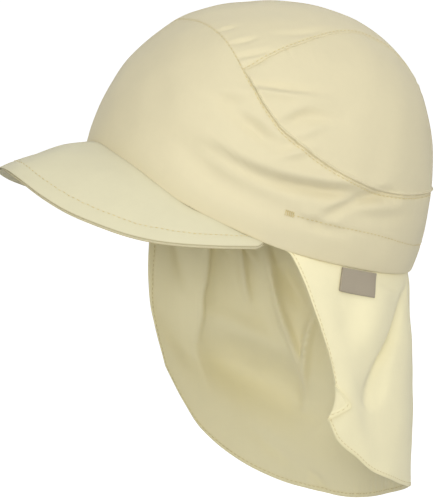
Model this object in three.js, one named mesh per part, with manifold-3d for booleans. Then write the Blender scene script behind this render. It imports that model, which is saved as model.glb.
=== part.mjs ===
import * as THREE from 'three';
import { mergeVertices } from 'three/addons/utils/BufferGeometryUtils.js';
import Module from 'manifold-3d';

// Child's peaked sun cap with a neck flap, in the form that it has when it is worn.
// Millimetres. +Z is up, the peak points to -Y and +X is the wearer's left. The origin is the
// middle of the head opening, at the height of the rim beside the ears.
// Headings are in degrees around +Z: 0 is the forehead, 90 the left ear and 180 the nape.

const wasm = await Module();
wasm.setup();

// Crown, measured outside the cloth
const crownWidth = 143;
const crownFront = 89; // origin to the forehead
const crownBack = 86; // origin to the back of the head
const crownHeight = 126;
const widestHeight = 43;
const crownWall = 1.2;
const planPower = 2.15; // 2 is a plain ellipse in plan, more is squarer
const rimTuck = 0.13; // share by which the crown draws in from its widest level to the nape

// Rim
const rimForehead = 61.5;
const rimNape = -8;

// Seams
const seamGap = 0.3;
const yokeReach = 34; // the seam over the forehead lies this far in front of the origin
const yokeHeading = 52.5; // where that seam meets the side seams
const napeSeamHeight = 32;
const napeSeamHeading = 163.5;
const cornerShare = 0.008; // how near to its corners a side panel is cut off

// Peak
const peakHeading = 62.5; // heading of its two ends
const peakHalfWidth = 66;
const peakRoot = 33; // its ends lie this far in front of the origin
const peakReach = 106; // from its ends to its front edge
const peakWall = 1.2;
const peakSeat = 0.4; // clearance to the crown's cloth
const peakTip = 55; // height of the middle of the front edge
const peakEndLip = 1.4;
const peakArch = 2.5; // how far its upper face bulges

// Neck flap
const flapHeading = 71; // heading of its front edges where they meet the rim
const flapWall = 1;
const flapTuck = 4; // how far it reaches up inside the rim
const flapSeat = 0.45; // clearance to the cloth of the crown there
const flapDrop = 130; // origin to its lowest point
const flapHalfWidth = 77; // at the hem
const flapBack = 71; // origin to the hem behind the neck
const flapBelly = 2.5; // how far it stands out half way down
const flapFoldScale = 10; // depths in the table of folds are shares of this
const cornerTop = 0.79; // where on the left edge the corner starts to turn out
const cornerReach = 11;
const cornerDroop = 1.5;

// Woven tab below the rim
const tabFront = 97.5; // heading of its front side
const tabWidth = 23;
const tabLength = 12;
const tabLean = 7; // its foot lies this far in front of its top
const tabDrop = 1.5; // from the rim to its upper edge, before its own lift off the flap
const tabWall = 0.9;
const tabGap = 0.5;

// Shape of the dome in each direction: how it rises from the widest level and how full it is
const frontDome = { reach: crownFront, rise: 1.65, fullness: 2.35 };
const backDome = { reach: crownBack, rise: 2.5, fullness: 2.15 };
const sideDome = { reach: crownWidth / 2, rise: 2.07, fullness: 2.25 };

// Height of the rim: share of the way up from the nape to the forehead. The cap sits a little
// askew, so its right front rides higher than its left front.
const rimRows = [
  { heading: -180, share: 0 },
  { heading: -155, share: 0.015 },
  { heading: -130, share: 0.065 },
  { heading: -106, share: 0.165 },
  { heading: -84, share: 0.285 },
  { heading: -66, share: 0.43 },
  { heading: -52, share: 0.58 },
  { heading: -36, share: 0.78 },
  { heading: -18, share: 0.97 },
  { heading: -4, share: 1.015 },
  { heading: 18, share: 0.9 },
  { heading: 34, share: 0.7 },
  { heading: 52, share: 0.51 },
  { heading: 66, share: 0.38 },
  { heading: 84, share: 0.265 },
  { heading: 106, share: 0.16 },
  { heading: 130, share: 0.065 },
  { heading: 155, share: 0.015 },
  { heading: 180, share: 0 },
];

// Side seam, from the yoke seam down and back to the nape: height as a share of the way up from
// the nape seam to the corner at the yoke
const sideSeamRows = [
  { along: 0, share: 1 },
  { along: 0.04, share: 0.9 },
  { along: 0.14, share: 0.63 },
  { along: 0.22, share: 0.49 },
  { along: 0.31, share: 0.355 },
  { along: 0.42, share: 0.225 },
  { along: 0.55, share: 0.115 },
  { along: 0.72, share: 0.045 },
  { along: 0.87, share: 0.018 },
  { along: 1, share: 0 },
];

// Upper seam of a side panel, from the yoke over the top to the nape: shares of the crown's half
// width, back length and height
const topSeamRows = [
  { along: 0, side: 0.637, back: -0.4, up: 0.806 },
  { along: 0.1, side: 0.637, back: -0.25, up: 0.85 },
  { along: 0.24, side: 0.595, back: 0, up: 0.893 },
  { along: 0.38, side: 0.5, back: 0.26, up: 0.9 },
  { along: 0.52, side: 0.415, back: 0.52, up: 0.87 },
  { along: 0.65, side: 0.37, back: 0.76, up: 0.75 },
  { along: 0.8, side: 0.35, back: 0.93, up: 0.53 },
  { along: 0.92, side: 0.345, back: 0.97, up: 0.35 },
  { along: 1, side: 0.34, back: 0.98, up: 0.254 },
];

// Drag folds of the crown's cloth: a path of spots on its surface, each a heading and a height,
// heights as shares of the crown's height, depth and reach as shares of its width. A depth below
// 0 is a hollow. The first eight are those over the left ear.
const crownFolds = [
  { path: [[44, 0.52], [57, 0.444], [70, 0.392], [86, 0.352], [120, 0.29]], depth: -0.02, reach: 0.034 },
  { path: [[30, 0.563], [46, 0.425], [57, 0.355], [71, 0.274]], depth: -0.016, reach: 0.054 },
  { path: [[39, 0.724], [48, 0.703], [58, 0.686]], depth: -0.01, reach: 0.036 },
  { path: [[55, 0.743], [72, 0.721], [94, 0.689]], depth: 0.01, reach: 0.034 },
  { path: [[46, 0.687], [53, 0.643], [63, 0.563], [70, 0.532]], depth: -0.015, reach: 0.036 },
  { path: [[70, 0.607], [83, 0.64], [98, 0.609]], depth: -0.01, reach: 0.034 },
  { path: [[84, 0.242], [99, 0.287], [118, 0.314]], depth: -0.01, reach: 0.034 },
  { path: [[75, 0.254], [85, 0.214], [96, 0.179]], depth: -0.008, reach: 0.034 },
  { path: [[-40, 0.532], [-58, 0.437], [-84, 0.357], [-112, 0.302]], depth: -0.014, reach: 0.04 },
  { path: [[-47, 0.675], [-59, 0.607], [-74, 0.548]], depth: -0.01, reach: 0.036 },
  { path: [[-86, 0.246], [-99, 0.286], [-118, 0.31]], depth: -0.008, reach: 0.034 },
];

// Front edge of the peak from its right end, -1, to its left end, 1: height above the level of the
// left end as a share of the tip's height above it. Its right half rides higher, like the rim.
const peakRows = [
  { along: -1, share: 0 },
  { along: -0.83, share: 0.12 },
  { along: -0.67, share: 0.32 },
  { along: -0.56, share: 0.49 },
  { along: -0.44, share: 0.65 },
  { along: -0.33, share: 0.79 },
  { along: -0.22, share: 0.905 },
  { along: -0.11, share: 0.985 },
  { along: 0, share: 0.99 },
  { along: 0.11, share: 0.89 },
  { along: 0.22, share: 0.72 },
  { along: 0.33, share: 0.54 },
  { along: 0.44, share: 0.385 },
  { along: 0.56, share: 0.225 },
  { along: 0.67, share: 0.125 },
  { along: 0.83, share: 0.05 },
  { along: 1, share: 0 },
];

// Hem of the neck flap: its heading and its height below the origin as a share of the drop.
// 1 is the left front corner, 0 the middle behind the neck and -1 the right front corner.
const hemRows = [
  { around: -1, heading: -82, share: 0.5 },
  { around: -0.93, heading: -89, share: 0.63 },
  { around: -0.85, heading: -97, share: 0.755 },
  { around: -0.72, heading: -110, share: 0.873 },
  { around: -0.57, heading: -124, share: 0.95 },
  { around: -0.44, heading: -136, share: 0.983 },
  { around: -0.24, heading: -157, share: 1 },
  { around: 0, heading: -180, share: 0.954 },
  { around: 0.33, heading: -211, share: 0.869 },
  { around: 0.52, heading: -229, share: 0.832 },
  { around: 0.69, heading: -245, share: 0.775 },
  { around: 0.79, heading: -255, share: 0.728 },
  { around: 0.87, heading: -262, share: 0.67 },
  { around: 0.96, heading: -270, share: 0.6 },
  { around: 1, heading: -274, share: 0.516 },
];

// Folds of the neck flap: a path of spots on it, each a place around and a share of the way
// down, depth as a share of flapFoldScale, and reach on the same scale as around. A depth above
// 0 stands outwards. The last row is the wide pocket on the right.
const flapFolds = [
  { path: [[0.34, 0.1], [0.5, 0.305], [0.657, 0.483], [0.78, 0.68]], depth: -0.6, reach: 0.065 },
  { path: [[0.52, 0.05], [0.88, 0.55]], depth: 0.2, reach: 0.08 },
  { path: [[0.1, 0], [0.06, 1.1]], depth: -0.35, reach: 0.06 },
  { path: [[-0.2, 0], [-0.16, 1.1]], depth: 0.25, reach: 0.08 },
  { path: [[-0.36, 0.2], [-0.38, 0.4], [-0.42, 0.72]], depth: -0.45, reach: 0.05 },
  { path: [[-0.56, -0.05], [-0.5, 0.28], [-0.43, 0.56]], depth: -0.43, reach: 0.05 },
  { path: [[-0.65, -0.1], [-0.63, 0.3]], depth: -0.25, reach: 0.045 },
  { path: [[-0.76, -0.1], [-0.81, 0.25], [-0.83, 0.6]], depth: -0.33, reach: 0.045 },
  { path: [[-0.82, 0.6], [-0.68, 0.58], [-0.5, 0.62], [-0.36, 0.72]], depth: 0.75, reach: 0.13 },
];

// Fineness
const yokeSteps = 18;
const sideSteps = 20;
const frontRows = 10;
const sideRows = 8;
const peakSteps = 6;
const flapSteps = 48;
const flapRows = 13;
const foldSteps = 60;

const radians = (degrees) => (degrees * Math.PI) / 180;

// Smooth curve through the rows of a table, read at one value of its key column
function readTable(rows, key, column, at) {
  let right = rows.findIndex((row) => row[key] > at);
  if (right === -1) right = rows.length - 1;
  right = Math.max(right, 1);
  const slope = (index) => {
    const before = rows[Math.max(index - 1, 0)];
    const after = rows[Math.min(index + 1, rows.length - 1)];
    return (after[column] - before[column]) / (after[key] - before[key]);
  };
  const a = rows[right - 1];
  const b = rows[right];
  const span = b[key] - a[key];
  const t = THREE.MathUtils.clamp((at - a[key]) / span, 0, 1);
  const startWeight = 2 * t ** 3 - 3 * t ** 2 + 1;
  const startSlope = (t ** 3 - 2 * t ** 2 + t) * span * slope(right - 1);
  const endSlope = (t ** 3 - t ** 2) * span * slope(right);
  return startWeight * a[column] + startSlope + (1 - startWeight) * b[column] + endSlope;
}

// Distance from the crown's axis in one of its main directions, at a height
function domeReach(dome, height) {
  if (height <= widestHeight) {
    const drop = (widestHeight - height) / (widestHeight - rimNape);
    return dome.reach * (1 - rimTuck * drop ** 2);
  }
  const climb = Math.min((height - widestHeight) / (crownHeight - widestHeight), 1);
  return dome.reach * (1 - climb ** dome.rise) ** (1 / dome.fullness);
}

// Below zero inside the crown, above zero outside it
function crownBulk(point) {
  if (point.z >= crownHeight) return 1;
  const side = Math.abs(point.x) / domeReach(sideDome, point.z);
  const length = Math.abs(point.y) / domeReach(point.y < 0 ? frontDome : backDome, point.z);
  return side ** planPower + length ** planPower - 1;
}

// Point of the crown at a heading and a height
function crownAt(heading, height) {
  const sine = Math.sin(radians(heading));
  const cosine = -Math.cos(radians(heading));
  const side = Math.abs(sine) / domeReach(sideDome, height);
  const length = Math.abs(cosine) / domeReach(cosine < 0 ? frontDome : backDome, height);
  const reach = (side ** planPower + length ** planPower) ** (-1 / planPower);
  return new THREE.Vector3(reach * sine, reach * cosine, height);
}

// Point of the crown in line with a guide point, seen from the middle of the head
function onCrown(guide) {
  const core = new THREE.Vector3(0, 0, widestHeight);
  const ray = guide.clone().sub(core).normalize();
  let inside = 0;
  let outside = crownFront + crownBack;
  for (let step = 0; step < 40; step += 1) {
    const middle = (inside + outside) / 2;
    const probe = core.clone().addScaledVector(ray, middle);
    if (crownBulk(probe) < 0) inside = middle;
    else outside = middle;
  }
  return core.addScaledVector(ray, inside);
}

// Direction straight out of the crown's cloth
function crownOut(point) {
  const probe = 0.05;
  const slope = (axis) => {
    const ahead = point.clone();
    const behind = point.clone();
    ahead[axis] += probe;
    behind[axis] -= probe;
    return crownBulk(ahead) - crownBulk(behind);
  };
  return new THREE.Vector3(slope('x'), slope('y'), slope('z')).normalize();
}

function rimHeight(heading) {
  const turned = ((heading + 540) % 360) - 180;
  return rimNape + (rimForehead - rimNape) * readTable(rimRows, 'heading', 'share', turned);
}

// Height of a fold at a point: greatest half way along its path, fading out around it
function foldHeight(point, path, reach) {
  const distances = path.map((spot) => spot.distanceTo(point));
  const nearest = Math.min(...distances);
  const place = distances.indexOf(nearest) / foldSteps;
  return (0.35 + 0.65 * Math.sin(Math.PI * place)) * Math.exp(-((nearest / reach) ** 2));
}

// Finer path through the spots of a fold, each made into a point by the function
function foldPath(spots, pointAt) {
  const path = [];
  for (let step = 0; step <= foldSteps; step += 1) {
    const place = (step / foldSteps) * (spots.length - 1);
    const index = Math.min(Math.floor(place), spots.length - 2);
    const next = spots[index + 1];
    const spot = spots[index].map((value, axis) => (
      THREE.MathUtils.lerp(value, next[axis], place - index)));
    path.push(pointAt(...spot));
  }
  return path;
}

const crownFoldPaths = crownFolds.map((fold) => (
  foldPath(fold.path, (heading, height) => crownAt(heading, height * crownHeight))));

const flapFoldPaths = flapFolds.map((fold) => (
  foldPath(fold.path, (around, down) => new THREE.Vector2(around, down))));

// Depth of the crown's folds at a point, fading out towards the rim
function foldDepth(point) {
  const heading = Math.atan2(point.x, -point.y);
  const rise = point.z - rimHeight((heading * 180) / Math.PI);
  let depth = 0;
  crownFolds.forEach((fold, index) => {
    const height = foldHeight(point, crownFoldPaths[index], fold.reach * crownWidth);
    depth += fold.depth * crownWidth * height;
  });
  return depth * THREE.MathUtils.smoothstep(rise, 4, 18);
}

// Closed cloth solid between two grids of points, rows by columns
function clothGeometry(outer, inner, closedRing) {
  const rows = outer.length;
  const columns = outer[0].length;
  const points = [...outer.flat(), ...inner.flat()];
  const innerStart = rows * columns;
  const triangles = [];
  const quad = (a, b, c, d) => triangles.push(a, b, c, a, c, d);
  const lastColumn = closedRing ? columns : columns - 1;
  for (let row = 0; row < rows - 1; row += 1) {
    for (let column = 0; column < lastColumn; column += 1) {
      const next = (column + 1) % columns;
      const corners = [
        row * columns + column,
        row * columns + next,
        (row + 1) * columns + next,
        (row + 1) * columns + column,
      ];
      const back = corners.map((corner) => corner + innerStart);
      quad(...corners);
      triangles.push(back[0], back[2], back[1], back[0], back[3], back[2]);
    }
  }
  const edge = (a, b) => quad(b, a, a + innerStart, b + innerStart);
  for (let column = 0; column < lastColumn; column += 1) {
    const next = (column + 1) % columns;
    const last = (rows - 1) * columns;
    edge(column, next);
    edge(last + next, last + column);
  }
  if (!closedRing) {
    for (let row = 0; row < rows - 1; row += 1) {
      edge((row + 1) * columns, row * columns);
      edge(row * columns + columns - 1, (row + 1) * columns + columns - 1);
    }
  }
  const geometry = new THREE.BufferGeometry();
  const flat = points.flatMap((point) => [point.x, point.y, point.z]);
  geometry.setAttribute('position', new THREE.Float32BufferAttribute(flat, 3));
  geometry.setIndex(triangles);
  return faceOutwards(geometry);
}

function faceOutwards(geometry) {
  const position = geometry.getAttribute('position');
  const index = geometry.getIndex().array;
  const corners = [new THREE.Vector3(), new THREE.Vector3(), new THREE.Vector3()];
  let volume = 0;
  for (let start = 0; start < index.length; start += 3) {
    corners.forEach((corner, i) => corner.fromBufferAttribute(position, index[start + i]));
    volume += corners[0].dot(corners[1].clone().cross(corners[2]));
  }
  if (volume < 0) {
    for (let start = 0; start < index.length; start += 3) {
      [index[start + 1], index[start + 2]] = [index[start + 2], index[start + 1]];
    }
  }
  return geometry;
}

// Direction into the cloth at each point of the grid of its outer face
function inwardNormals(grid) {
  const at = (row, column) => {
    const line = grid[THREE.MathUtils.clamp(row, 0, grid.length - 1)];
    return line[THREE.MathUtils.clamp(column, 0, line.length - 1)];
  };
  return grid.map((line, row) => line.map((point, column) => {
    const down = at(row + 1, column).clone().sub(at(row - 1, column));
    const across = at(row, column + 1).clone().sub(at(row, column - 1));
    return across.cross(down).normalize();
  }));
}

// Cloth whose outer face lies a depth under a grid of points
function layeredCloth(grid, depth, wall) {
  const normals = inwardNormals(grid);
  const layer = (below) => grid.map((line, row) => line.map((point, column) => (
    point.clone().addScaledVector(normals[row][column], below)
  )));
  return clothGeometry(layer(depth), layer(depth + wall), false);
}

function clothMesh(name, geometry, color, roughness) {
  const material = new THREE.MeshStandardMaterial({ color, roughness, metalness: 0 });
  const mesh = new THREE.Mesh(geometry, material);
  mesh.name = name;
  return mesh;
}

// Shares along a side seam. The side panel leaves out the first and the last of them.
function seamShares() {
  const shares = [0, cornerShare];
  for (let step = 1; step < sideSteps; step += 1) shares.push(step / sideSteps);
  return [...shares, 1 - cornerShare, 1];
}

// Point of the seam over the forehead, in a plane square to the cap's length
function yokePoint(heading) {
  const start = new THREE.Vector3(0, -yokeReach, 0);
  const side = yokeReach * Math.tan(radians(heading));
  let low = widestHeight;
  let high = crownHeight;
  for (let step = 0; step < 40; step += 1) {
    const middle = (low + high) / 2;
    if (crownBulk(start.clone().setX(side).setZ(middle)) < 0) low = middle;
    else high = middle;
  }
  return start.setX(side).setZ(low);
}

function sideSeamPoint(share, side) {
  const heading = yokeHeading + (napeSeamHeading - yokeHeading) * share;
  const corner = yokePoint(yokeHeading).z;
  const rise = readTable(sideSeamRows, 'along', 'share', share);
  return crownAt(side * heading, napeSeamHeight + (corner - napeSeamHeight) * rise);
}

function topSeamPoint(share, side) {
  if (share === 0) return yokePoint(side * yokeHeading);
  if (share === 1) return crownAt(side * napeSeamHeading, napeSeamHeight);
  const read = (column) => readTable(topSeamRows, 'along', column, share);
  return onCrown(new THREE.Vector3(
    (side * read('side') * crownWidth) / 2,
    read('back') * crownBack,
    read('up') * crownHeight,
  ));
}

// A seam's points moved half a gap across the cloth, to the left of the way that it runs
function besideSeam(points, closedRing, toRight) {
  const count = points.length;
  const at = (index) => {
    if (closedRing) return points[(index + count) % count];
    return points[THREE.MathUtils.clamp(index, 0, count - 1)];
  };
  return points.map((point, index) => {
    const run = at(index + 1).clone().sub(at(index - 1));
    const across = crownOut(point).cross(run).normalize();
    return point.clone().addScaledVector(across, (toRight ? -seamGap : seamGap) / 2);
  });
}

// Puts guide points on the crown, with its folds, and gives the cloth its wall
function crownPanel(guides, closedRing) {
  const outer = guides.map((line) => line.map((guide) => {
    const base = onCrown(guide);
    return base.clone().addScaledVector(crownOut(base), foldDepth(base));
  }));
  const inner = guides.map((line, row) => line.map((guide, column) => (
    outer[row][column].clone().addScaledVector(crownOut(onCrown(guide)), -crownWall)
  )));
  return clothGeometry(outer, inner, closedRing);
}

// The closed seam round the top of the front panel, which also runs low around the nape
function yokeLoop() {
  const shares = seamShares();
  const loop = [];
  for (let step = 0; step < yokeSteps; step += 1) {
    loop.push(yokePoint(yokeHeading * ((2 * step) / yokeSteps - 1)));
  }
  shares.slice(0, -1).forEach((share) => loop.push(sideSeamPoint(share, 1)));
  for (let step = 0; step < yokeSteps; step += 1) {
    const heading = THREE.MathUtils.lerp(napeSeamHeading, 360 - napeSeamHeading, step / yokeSteps);
    loop.push(crownAt(heading, napeSeamHeight));
  }
  shares.slice(1).reverse().forEach((share) => loop.push(sideSeamPoint(share, -1)));
  return loop;
}

// Headings of the front panel's columns, from -180 to 180
const columnHeadings = yokeLoop().map((point) => (Math.atan2(point.x, -point.y) * 180) / Math.PI);

function crownFrontPanel() {
  const upper = besideSeam(yokeLoop(), true, true);
  const lower = columnHeadings.map((heading) => crownAt(heading, rimHeight(heading)));
  const guides = [];
  for (let row = 0; row <= frontRows; row += 1) {
    guides.push(lower.map((point, column) => point.clone().lerp(upper[column], row / frontRows)));
  }
  return clothMesh('crown_front_panel', crownPanel(guides, true), 0xe4dbb4, 0.82);
}

// Grid of guide points inside four seams that share their corners
function fillBetween(front, back, right, left) {
  const rows = right.length - 1;
  const columns = front.length - 1;
  return right.map((rightPoint, row) => front.map((frontPoint, column) => {
    const down = row / rows;
    const over = column / columns;
    const sides = rightPoint.clone().lerp(left[row], over);
    const ends = frontPoint.clone().lerp(back[column], down);
    const frontCorners = front[0].clone().lerp(front[columns], over);
    const backCorners = back[0].clone().lerp(back[columns], over);
    return sides.add(ends).sub(frontCorners.lerp(backCorners, down));
  }));
}

function crownTopPanel() {
  const front = [];
  const back = [];
  for (let step = 0; step <= yokeSteps; step += 1) {
    front.push(yokePoint(yokeHeading * ((2 * step) / yokeSteps - 1)));
    const turned = THREE.MathUtils.lerp(360 - napeSeamHeading, napeSeamHeading, step / yokeSteps);
    back.push(crownAt(turned, napeSeamHeight));
  }
  const shares = seamShares();
  const right = shares.map((share) => topSeamPoint(share, -1));
  const left = shares.map((share) => topSeamPoint(share, 1));
  const edges = [
    besideSeam(front, false, false),
    besideSeam(back, false, true),
    besideSeam(right, false, true),
    besideSeam(left, false, false),
  ];
  const [frontEdge, backEdge, rightEdge, leftEdge] = edges;
  // at a corner the gaps of both of its seams add up
  const meet = (seamPoint, one, other) => one.clone().add(other).sub(seamPoint);
  const last = shares.length - 1;
  rightEdge[0] = meet(right[0], rightEdge[0], frontEdge[0]);
  leftEdge[0] = meet(left[0], leftEdge[0], frontEdge[yokeSteps]);
  rightEdge[last] = meet(right[last], rightEdge[last], backEdge[0]);
  leftEdge[last] = meet(left[last], leftEdge[last], backEdge[yokeSteps]);
  frontEdge[0] = rightEdge[0];
  frontEdge[yokeSteps] = leftEdge[0];
  backEdge[0] = rightEdge[last];
  backEdge[yokeSteps] = leftEdge[last];
  const guides = fillBetween(frontEdge, backEdge, rightEdge, leftEdge);
  return clothMesh('crown_top_panel', crownPanel(guides, false), 0xded5b4, 0.82);
}

function crownSidePanel(name, side) {
  const shares = seamShares();
  const low = besideSeam(shares.map((share) => sideSeamPoint(share, side)), false, side < 0);
  const top = besideSeam(shares.map((share) => topSeamPoint(share, side)), false, side > 0);
  const guides = shares.map((share, index) => {
    const line = [];
    for (let row = 0; row <= sideRows; row += 1) {
      line.push(low[index].clone().lerp(top[index], row / sideRows));
    }
    return line;
  });
  return clothMesh(name, crownPanel(guides.slice(1, -1), false), 0xe5d9b1, 0.82);
}

// Upper face of the peak, from the seam at the crown, across 0, to the front edge, across 1
function peakPoint(heading, across) {
  const along = heading / peakHeading;
  const rim = crownAt(heading, rimHeight(heading));
  const root = rim.clone().addScaledVector(crownOut(rim).setZ(0).normalize(), peakSeat);
  root.z = rim.z + peakWall / 4;
  const turn = radians(90 * along);
  const ends = rimHeight(peakHeading);
  const rise = readTable(peakRows, 'along', 'share', along);
  const edge = new THREE.Vector3(
    (peakHalfWidth + peakEndLip * Math.abs(Math.sin(turn))) * Math.sin(turn),
    -(peakRoot + peakReach * Math.cos(turn)),
    ends - peakEndLip * Math.abs(along) ** 3 + (peakTip - ends) * rise,
  );
  const point = root.lerp(edge, across);
  point.z += peakArch * Math.sin(Math.PI * across ** 0.85) * Math.cos(turn);
  return point;
}

function peakGrid() {
  const inner = columnHeadings.filter((heading) => Math.abs(heading) < peakHeading - 1);
  const headings = inner.sort((one, other) => one - other);
  const grid = [];
  for (let row = 0; row <= peakSteps; row += 1) {
    const columns = [-peakHeading, ...headings, peakHeading];
    grid.push(columns.map((heading) => peakPoint(heading, row / peakSteps)));
  }
  return grid;
}

// One cover of the peak, straight below its upper face
function peakCover(name, depth, color) {
  const lowered = (below) => peakGrid().map((line) => line.map((point) => (
    point.clone().setZ(point.z - below)
  )));
  return clothMesh(name, clothGeometry(lowered(depth), lowered(depth + peakWall), false), color, 0.8);
}

// Where the flap leaves the rim, just inside the crown's cloth
function flapTop(around, rise) {
  const heading = 180 - (180 - flapHeading) * around;
  const point = crownAt(heading, rimHeight(heading) + rise);
  return point.addScaledVector(crownOut(point), -crownWall - flapSeat);
}

function flapHem(around) {
  const heading = readTable(hemRows, 'around', 'heading', around);
  const sine = Math.sin(radians(heading));
  const cosine = -Math.cos(radians(heading));
  const side = Math.abs(sine) / flapHalfWidth;
  const length = Math.abs(cosine) / flapBack;
  const reach = (side ** planPower + length ** planPower) ** (-1 / planPower);
  const height = -flapDrop * readTable(hemRows, 'around', 'share', around);
  return new THREE.Vector3(reach * sine, reach * cosine, height);
}

// Outer face of the flap: around from -1 to 1, down 0 at the rim and 1 at the hem
function flapPoint(around, down) {
  if (down <= 0) return flapTop(around, -down * flapTuck);
  const top = flapTop(around, 0);
  const hem = flapHem(around);
  const point = top.clone().lerp(hem, down);
  // the cloth spreads soon below the rim
  const outwards = new THREE.Vector3(top.x, top.y, 0).normalize();
  point.addScaledVector(outwards, flapBelly * Math.sin(Math.PI * down));
  // the left front edge swings out and back towards its turned corner
  const swing = THREE.MathUtils.smoothstep(around, 0.72, 1) * down ** 0.4 * (1 - down ** 7);
  point.x += 7 * swing;
  point.y += 8.5 * swing;
  // the right front edge hangs straighter at first
  const lag = THREE.MathUtils.smoothstep(-around, 0.72, 1) * Math.sin(Math.PI * down);
  point.y -= 4 * lag;
  // its folds start just below the rim
  const here = new THREE.Vector2(around, down);
  const calm = THREE.MathUtils.smoothstep(down, 0, 0.12);
  flapFolds.forEach((fold, index) => {
    const height = foldHeight(here, flapFoldPaths[index], fold.reach) * calm;
    point.addScaledVector(outwards, fold.depth * flapFoldScale * height);
  });
  return point;
}

function flapGrid() {
  const grid = [];
  for (let row = -1; row <= flapRows; row += 1) {
    const down = row < 0 ? -1 : (row / flapRows) ** 1.15;
    const line = [];
    for (let step = 0; step <= flapSteps; step += 1) {
      line.push(flapPoint(1 - (2 * step) / flapSteps, down));
    }
    grid.push(line);
  }
  return grid;
}

// The left front corner, turned outwards along the line from the edge down to the hem
function turnedCorner() {
  const steps = 8;
  const fan = 4;
  const outwards = new THREE.Vector3(0.62, 0.76, -0.15).normalize();
  const grid = [];
  for (let step = 0; step <= steps; step += 1) {
    const along = 0.04 + 0.92 * (step / steps);
    const root = flapPoint(1, THREE.MathUtils.lerp(cornerTop, 1, along));
    const width = cornerReach * Math.sin(Math.PI * along) ** 0.7;
    const line = [];
    for (let rib = 0; rib <= fan; rib += 1) {
      const out = rib / fan;
      const point = root.clone().addScaledVector(outwards, width * out - flapWall / 2);
      point.z -= cornerDroop * out ** 2;
      line.push(point);
    }
    grid.push(line);
  }
  return layeredCloth(grid, -flapWall / 2, flapWall);
}

function asSolid(geometry) {
  const bare = new THREE.BufferGeometry();
  bare.setAttribute('position', geometry.getAttribute('position').clone());
  bare.setIndex(geometry.getIndex().clone());
  const merged = mergeVertices(bare, 1e-4);
  return new wasm.Manifold(new wasm.Mesh({
    numProp: 3,
    vertProperties: merged.getAttribute('position').array,
    triVerts: new Uint32Array(merged.getIndex().array),
  }));
}

function asGeometry(solid) {
  const mesh = solid.getMesh();
  const geometry = new THREE.BufferGeometry();
  geometry.setAttribute('position', new THREE.BufferAttribute(mesh.vertProperties, 3));
  geometry.setIndex(new THREE.BufferAttribute(mesh.triVerts, 1));
  return geometry;
}

function neckFlap() {
  const sheet = asSolid(layeredCloth(flapGrid(), 0, flapWall));
  const corner = asSolid(turnedCorner());
  return clothMesh('neck_flap', asGeometry(sheet.add(corner)), 0xe0d8b4, 0.84);
}

// Plain woven tab that hangs from the rim over the flap
function sideTab() {
  const columns = 8;
  const rows = 3;
  const middle = crownAt(tabFront, rimHeight(tabFront));
  const turn = (tabWidth / Math.hypot(middle.x, middle.y)) * (180 / Math.PI);
  const grid = [];
  for (let row = 0; row <= rows; row += 1) {
    const line = [];
    for (let column = 0; column <= columns; column += 1) {
      const lean = (turn * tabLean * row) / (tabWidth * rows);
      const heading = tabFront - lean + (turn * column) / columns;
      const around = (180 - heading) / (180 - flapHeading);
      const fall = flapTop(around, 0).distanceTo(flapHem(around));
      const down = (tabDrop + (tabLength * row) / rows) / fall;
      line.push(flapPoint(around, down));
    }
    grid.push(line);
  }
  return clothMesh('side_tab', layeredCloth(grid, -tabGap - tabWall, tabWall), 0xa69d86, 0.9);
}

const cap = new THREE.Group();
cap.name = 'peaked_cap';
cap.add(crownFrontPanel());
cap.add(crownTopPanel());
cap.add(crownSidePanel('crown_left_panel', 1));
cap.add(crownSidePanel('crown_right_panel', -1));
cap.add(peakCover('peak_upper', 0, 0xe1dbb8));
cap.add(peakCover('peak_under', peakWall + seamGap, 0xd9cfa6));
cap.add(neckFlap());
cap.add(sideTab());

export default cap;
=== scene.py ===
import math
import bpy
import numpy as np
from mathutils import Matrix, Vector


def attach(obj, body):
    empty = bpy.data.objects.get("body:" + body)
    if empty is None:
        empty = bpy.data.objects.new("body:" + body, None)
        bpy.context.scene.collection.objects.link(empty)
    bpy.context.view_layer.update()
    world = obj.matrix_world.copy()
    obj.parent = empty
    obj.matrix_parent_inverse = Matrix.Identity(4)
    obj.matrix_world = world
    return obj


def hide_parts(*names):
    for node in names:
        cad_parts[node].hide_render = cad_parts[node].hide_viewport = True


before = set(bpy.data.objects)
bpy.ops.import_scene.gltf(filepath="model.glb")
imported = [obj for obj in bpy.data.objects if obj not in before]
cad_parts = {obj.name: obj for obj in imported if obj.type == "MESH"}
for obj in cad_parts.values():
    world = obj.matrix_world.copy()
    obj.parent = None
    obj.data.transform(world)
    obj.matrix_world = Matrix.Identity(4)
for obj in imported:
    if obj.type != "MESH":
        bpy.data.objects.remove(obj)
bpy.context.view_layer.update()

mm = 0.001  # the sizes and tables below are in millimetres, the finished meshes in metres

crown = {
    "front": 89.0, "back": 86.0, "side": 71.5, "height": 126.0, "widest": 43.0,
    "planPower": 2.15, "rimTuck": 0.13, "rimForehead": 61.5, "rimNape": -8.0, "wall": 1.2,
    "frontDome": (1.65, 2.35), "backDome": (2.5, 2.15), "sideDome": (2.07, 2.25),
    "yokeReach": 34.0, "yokeHeading": 52.5, "napeHeight": 32.0, "napeHeading": 163.5,
    "yokeSteps": 130, "sideSteps": 170, "napeSteps": 40, "frontRows": 60, "sideRows": 76, "panelSteps": 150,
    "casingHeading": 73.5,  # where that line starts, on both sides
    "puff": 0.45, "unevenness": 0.28,
}

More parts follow.
